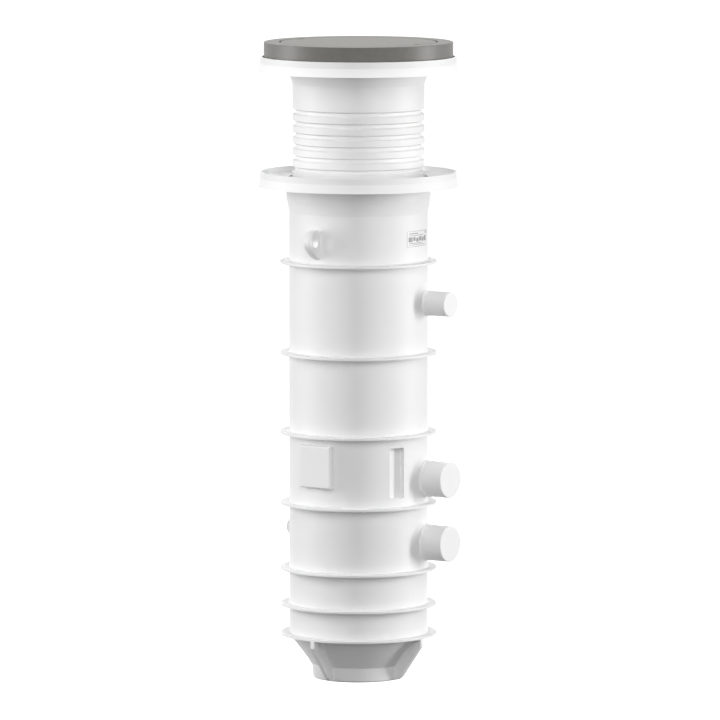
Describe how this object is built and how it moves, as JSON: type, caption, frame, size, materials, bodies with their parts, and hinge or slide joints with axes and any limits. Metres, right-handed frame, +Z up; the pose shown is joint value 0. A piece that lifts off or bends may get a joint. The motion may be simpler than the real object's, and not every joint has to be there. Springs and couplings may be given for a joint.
{
  "type": "pump chamber",
  "caption": "Slim moulded in-ground pump shaft with ring ribs, cone sump on fins, closed side spigots, telescopic grooved extension and round cover over a submersible pump.",
  "frame": {"origin": "centre of the base's underside", "axes": "+Z up along the shaft, +X along the side spigots, the pump's riser on +Y"},
  "size_m": [0.6129, 0.613, 1.9495],
  "materials": {
    "shell_plastic": "satin moulded polyethylene",
    "cover_plastic": "matt moulded",
    "seal_rubber": "matt",
    "pump_plastic": "satin moulded",
    "motor_steel": "brushed",
    "valve_brass": "satin",
    "pipe_plastic": "extruded",
    "screw_steel": "plain",
    "float_plastic": "moulded",
    "lever_paint": "coated"
  },
  "bodies": {
    "chamber": {"chamber_body": "shell_plastic", "intake_strainer": "pump_plastic", "volute_casing": "pump_plastic", "motor_cap": "pump_plastic", "carry_handle": "pump_plastic", "cable_gland": "pump_plastic", "float_bracket": "pump_plastic", "shaft_seal": "seal_rubber", "motor_housing": "motor_steel", "cap_screws": "screw_steel", "bracket_screws": "screw_steel", "float_pin": "screw_steel", "flap_pin": "screw_steel", "discharge_elbow": "pipe_plastic", "riser_pipe": "pipe_plastic", "outlet_pipe": "pipe_plastic", "union_nut": "pipe_plastic", "check_valve_body": "pipe_plastic", "pipe_bracket": "pump_plastic", "valve_body": "valve_brass"},
    "seal_ring": {"lip_seal": "seal_rubber"},
    "extension": {"extension_section": "shell_plastic", "frame_gasket": "seal_rubber", "cover_frame": "cover_plastic", "cover_seal": "seal_rubber", "cover_plate": "cover_plastic"},
    "rotor": {"impeller": "pump_plastic", "motor_shaft": "motor_steel"},
    "float_lever": {"float_arm": "float_plastic"},
    "flap": {"check_flap": "seal_rubber"},
    "valve_key": {"valve_ball": "motor_steel", "valve_lever": "lever_paint", "lever_nut": "screw_steel"}
  },
  "joints": [
    {"name": "seal_turn", "type": "hinge", "parent": "chamber", "child": "seal_ring", "pos_m": [0, 0, 1.535], "axis": [0, 0, 1], "continuous": true},
    {"name": "extension_slide", "type": "slide", "parent": "seal_ring", "child": "extension", "axis": [0, 0, 1], "range_m": [-0.19, 0.05]},
    {"name": "rotor_spin", "type": "hinge", "parent": "chamber", "child": "rotor", "pos_m": [0, 0, 0.09], "axis": [0, 0, 1], "continuous": true},
    {"name": "float_swing", "type": "hinge", "parent": "chamber", "child": "float_lever", "pos_m": [0, -0.092, 0.215], "axis": [-1, 0, 0], "range_deg": [0, 95]},
    {"name": "flap_swing", "type": "hinge", "parent": "chamber", "child": "flap", "pos_m": [0, 0.114, 0.1943], "axis": [1, 0, 0], "range_deg": [0, 65]},
    {"name": "valve_turn", "type": "hinge", "parent": "chamber", "child": "valve_key", "pos_m": [0, 0.138, 1.04], "axis": [0, -1, 0], "range_deg": [0, 90]}
  ]
}
